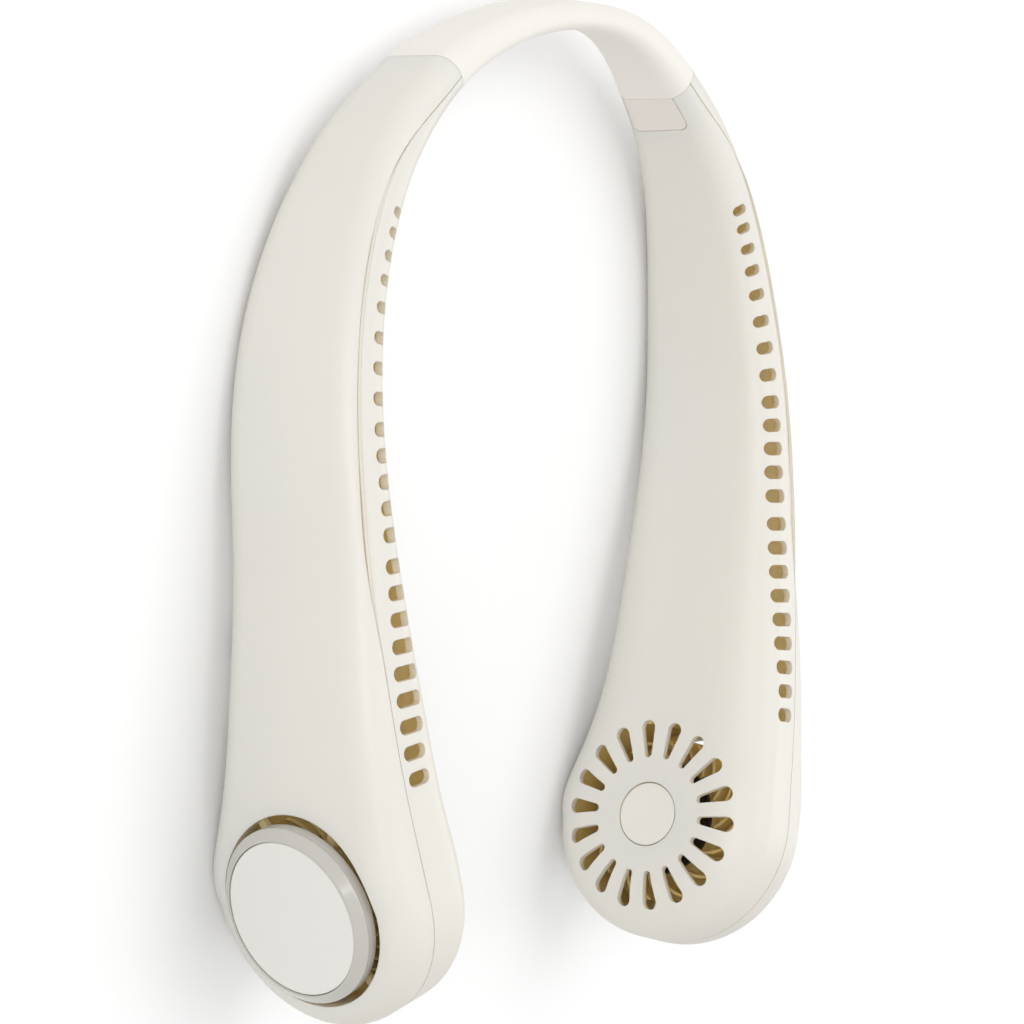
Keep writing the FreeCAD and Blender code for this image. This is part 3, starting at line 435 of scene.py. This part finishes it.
# Air guides and intake guards: ducting behind the vents and under the intake, in natural
# polypropylene, which is milky and golden. The guides drop into the shells and the guards clip in.
guide_pp = moulded_plastic("polypropylene_golden_moulded", "#f6dc8c", "#fce69e", 0.42, 0.55, 0.8)
dress(guide_pp, "left_air_guide", "right_air_guide")
guard_pp = moulded_plastic("polypropylene_milky_moulded", "#f4e2a8", "#fae9b4", 0.45, 0.58, 0.8)
dress(guard_pp, "left_intake_guard", "right_intake_guard")

# Impellers: thin-bladed wheels of the same natural polypropylene, one moulding each. The hub is
# pressed on the motor's bell and turns with it.
wheel_pp = moulded_plastic("polypropylene_wheel_moulded", "#f4dc96", "#fae4a4", 0.38, 0.50, 0.7)
dress(wheel_pp, "left_impeller", "right_impeller")

# Motors: a black circuit board, a laminated stator on its flange, a bronze bush, and a zinc-plated
# steel bell that carries the ring magnet. The screws of motor and band are zinc-plated too.


def solder_mask(name, deep, pale):
    """Glass-epoxy board under solder mask: a fine woven print-through and a hard gloss."""
    material, place = new_material(name)
    bands = {"wave_type": "BANDS", "bands_direction": "DIAGONAL"}
    weave = add_node(material, "ShaderNodeTexWave", bands, {"Scale": 1 / 0.004, "Distortion": 1.5},
                     {"Vector": place}).outputs["Fac"]
    gloss = {"IOR": 1.5, "Roughness": 0.28}
    shader = add_node(material, "ShaderNodeBsdfPrincipled", None, gloss, {
        "Base Color": toned(material, deep, pale, weave),
        "Normal": bumped(material, weave, 0.12, 0.03),
    })
    return finished(material, shader)


def worked_metal(name, deep, pale, rough_low, rough_high, grain_mm):
    """Bare or plated metal: a fine mottled sheen from plating, sintering or stamping."""
    material, place = new_material(name)
    mottle = noise(material, place, grain_mm, 4.0)
    shader = add_node(material, "ShaderNodeBsdfPrincipled", None, {"Metallic": 1.0}, {
        "Base Color": toned(material, deep, pale, mottle),
        "Roughness": ranged(material, rough_low, rough_high, mottle),
        "Normal": bumped(material, mottle, 0.10, 0.04),
    })
    return finished(material, shader)


black_board = solder_mask("glass_epoxy_black_mask", "#121314", "#1c1d1f")
dress(black_board, "left_motor_board", "right_motor_board")
core_steel = worked_metal("silicon_steel_stamped", "#5e6063", "#77797b", 0.35, 0.5, 0.6)
dress(core_steel, "left_motor_stator", "right_motor_stator")
bronze = worked_metal("bronze_sintered", "#8a6a3a", "#a5824d", 0.4, 0.55, 0.3)
dress(bronze, "left_shaft_bush", "right_shaft_bush")
zinc_steel = worked_metal("steel_zinc_plated", "#a9aaab", "#c3c4c4", 0.22, 0.36, 1.2)
dress(zinc_steel, "left_rotor_bell", "right_rotor_bell", "left_motor_screws", "right_motor_screws",
      "left_band_screws", "right_band_screws")
ferrite = moulded_plastic("ferrite_bonded", "#2a2929", "#383736", 0.55, 0.7, 0.4)
dress(ferrite, "left_rotor_magnet", "right_rotor_magnet")

# Batteries: flat pouch cells, one in each arm under the air guide, standing against ribs of the
# outer shell. Each is sealed in aluminium laminate film, which is silvery and a little wavy.
pouch_film = worked_metal("aluminium_laminate_film", "#b9bcc0", "#cdd0d3", 0.30, 0.46, 4.0)
dress(pouch_film, "left_battery", "right_battery")

# Wiring and anchors: red PVC leads from the cable to the motor, and blocks of natural glass-filled
# nylon, off-white, that hold the ends of the spine.
red_pvc = extruded_pvc("pvc_red_extruded", "#a3231d", "#b92d24")
dress(red_pvc, "left_motor_leads", "right_motor_leads")
pale_nylon = moulded_plastic("nylon_natural_glass_filled", "#dcd6c6", "#e4dfd1", 0.5, 0.65, 0.5)
dress(pale_nylon, "left_band_anchor", "right_band_anchor")

# Controls in the lower edge of the right arm: a green board, a tact switch, an oval push button,
# a stainless charging socket and a frosted light pipe.
dress(solder_mask("glass_epoxy_green_mask", "#17472b", "#1f5a37"), "control_board")
dress(moulded_plastic("nylon_black_moulded", "#191919", "#242424", 0.4, 0.5, 0.5), "tact_switch")
dress(moulded_plastic("abs_grey_satin", "#c9c6bf", "#cfccc5", 0.26, 0.34, 0.7), "power_button")
dress(worked_metal("stainless_drawn", "#a5a5a4", "#bcbcba", 0.20, 0.32, 0.8), "usb_socket")
dress(moulded_plastic("acrylic_frosted", "#e9eef2", "#f1f4f6", 0.35, 0.45, 0.3), "status_light")

# Floor: a wide table top painted matt white, paler than any part of the fan. It carries the fan
# and takes its shadow.
floor_half = 6.0
floor_signs = ((-1, -1), (1, -1), (1, 1), (-1, 1))
floor_corners = [(x * floor_half, y * floor_half, 0) for x, y in floor_signs]
floor_mesh = bpy.data.meshes.new("table")
floor_mesh.from_pydata(floor_corners, [], [(0, 1, 2, 3)])
floor = bpy.data.objects.new("table", floor_mesh)
bpy.context.scene.collection.objects.link(floor)
table_paint = bpy.data.materials.new("table_matt_white")
table_paint.use_nodes = True
table_shader = table_paint.node_tree.nodes["Principled BSDF"]
table_shader.inputs["Base Color"].default_value = linear("#f7f7f7")
table_shader.inputs["Roughness"].default_value = 0.9
floor_mesh.materials.append(table_paint)

# Studio: a broad softbox over the band, a smaller one beside the camera that reaches into the
# slots, a low weak one beyond the far arm that lights its edge, and an even white tent all round.
# The tent is dimmer as a light than it looks, so that the softboxes shape the fan.
tent_light = 0.72
tent_seen = 1.0
softboxes = [
    ("overhead_softbox", (0.2, 0.6, 1.5), (0.0, 0.0, 0.0), 1.4, 8.8),
    ("camera_softbox", (-1.2, 0.21, 0.9), (0.0, 0.0, 0.03), 0.6, 5.3),
    ("edge_softbox", (1.3, -0.1, 0.55), (0.0, 0.0, 0.03), 0.7, 2.6),
]
world = bpy.data.worlds.new("studio")
bpy.context.scene.world = world
world.use_nodes = True
tent = world.node_tree.nodes["Background"]
tent.inputs["Color"].default_value = (1.0, 1.0, 1.0, 1.0)
ray = add_node(world, "ShaderNodeLightPath").outputs
mirrored = add_node(world, "ShaderNodeMath", {"operation": "MAXIMUM"}, None,
                    {0: ray["Is Glossy Ray"], 1: ray["Is Transmission Ray"]})
seen = add_node(world, "ShaderNodeMath", {"operation": "MAXIMUM"}, None,
                {0: ray["Is Camera Ray"], 1: mirrored.outputs[0]})
strength = ranged(world, tent_light, tent_seen, seen.outputs[0])
world.node_tree.links.new(strength, tent.inputs["Strength"])
for name, spot, target, size, power in softboxes:
    lamp = bpy.data.lights.new(name, "AREA")
    lamp.shape = "SQUARE"
    lamp.size = size
    lamp.energy = power
    lamp_object = bpy.data.objects.new(name, lamp)
    lamp_object.location = spot
    aim = Vector(target) - Vector(spot)
    lamp_object.rotation_euler = aim.to_track_quat("-Z", "Y").to_euler()
    bpy.context.scene.collection.objects.link(lamp_object)

# Camera: a long lens that looks down on the fan from its right side, turned a quarter so that the
# band is at the top of the picture.
camera_right = Vector((0.59745, 0.09296, 0.7965))
camera_up = Vector((0.05842, 0.98557, -0.15884))
camera_data = bpy.data.cameras.new("camera")
camera_data.sensor_width = 36.0
camera_data.lens = 158.97
camera_data.clip_end = 30.0
camera = bpy.data.objects.new("camera", camera_data)
camera_back = camera_right.cross(camera_up).normalized()
camera_up = camera_back.cross(camera_right).normalized()
camera.matrix_world = Matrix((camera_right, camera_up, camera_back)).transposed().to_4x4()
camera.location = (-0.904548, 0.154677, 0.680103)
bpy.context.scene.collection.objects.link(camera)
bpy.context.scene.camera = camera
bpy.context.scene.view_settings.view_transform = "Standard"
